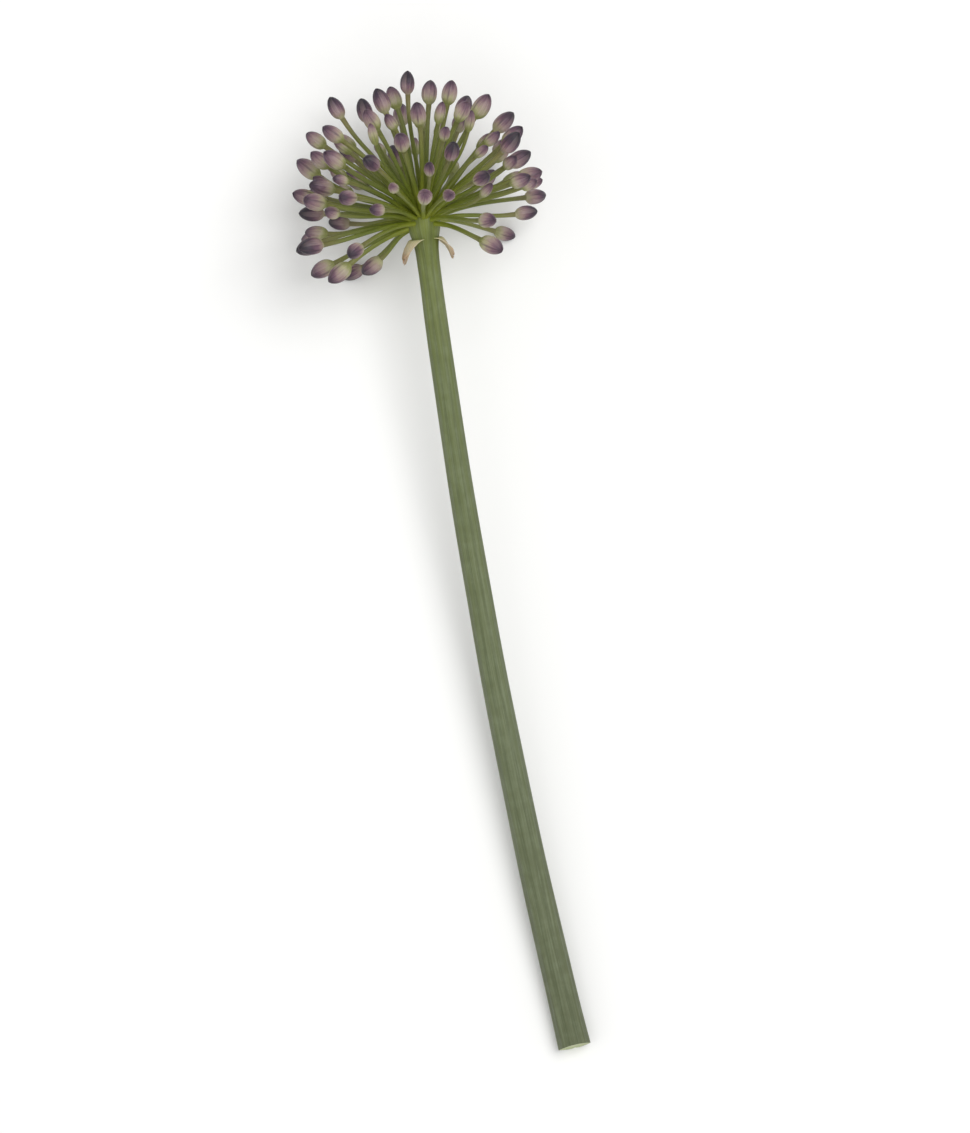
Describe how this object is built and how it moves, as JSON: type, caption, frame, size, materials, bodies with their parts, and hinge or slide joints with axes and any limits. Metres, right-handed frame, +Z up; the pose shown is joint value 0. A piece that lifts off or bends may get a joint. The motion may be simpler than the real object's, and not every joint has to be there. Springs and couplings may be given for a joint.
{
  "type": "allium flower head",
  "caption": "Picked ornamental onion flower head in bud, with stalked closed florets round a domed top, lying on its side with a length of its stalk.",
  "frame": {"origin": "under the middle of the whole flower's bounding box, on the surface it lies on", "axes": "+Z up from the surface, +Y along the stalk from its cut end towards the flower head, +X to the right of the head seen from above"},
  "size_m": [0.0402, 0.156, 0.0369],
  "materials": {
    "scape": "waxy green stalk with fine lengthwise ribs, paler along its edges",
    "spathe": "dry papery cream with fine lengthwise veins",
    "floret": "olive green pedicel and a closed bud from pale cream green through mauve to a dark purple tip"
  },
  "bodies": {
    "root": {"scape": "scape", "spathe_valve_left": "spathe", "spathe_valve_right": "spathe", "floret_01": "floret", "floret_02": "floret", "floret_03": "floret", "floret_04": "floret", "floret_05": "floret", "floret_06": "floret", "floret_07": "floret", "floret_08": "floret", "floret_09": "floret", "floret_10": "floret", "floret_11": "floret", "floret_12": "floret", "floret_13": "floret", "floret_14": "floret", "floret_15": "floret", "floret_16": "floret", "floret_17": "floret", "floret_18": "floret", "floret_19": "floret", "floret_20": "floret", "floret_21": "floret", "floret_22": "floret", "floret_23": "floret", "floret_24": "floret", "floret_25": "floret", "floret_26": "floret", "floret_27": "floret", "floret_28": "floret", "floret_29": "floret", "floret_30": "floret", "floret_31": "floret", "floret_32": "floret", "floret_33": "floret", "floret_34": "floret", "floret_35": "floret", "floret_36": "floret", "floret_37": "floret", "floret_38": "floret", "floret_39": "floret", "floret_40": "floret", "floret_41": "floret", "floret_42": "floret", "floret_43": "floret", "floret_44": "floret", "floret_45": "floret", "floret_46": "floret", "floret_47": "floret", "floret_48": "floret", "floret_49": "floret", "floret_50": "floret", "floret_51": "floret", "floret_52": "floret", "floret_53": "floret", "floret_54": "floret", "floret_55": "floret", "floret_56": "floret", "floret_57": "floret"}
  },
  "joints": []
}
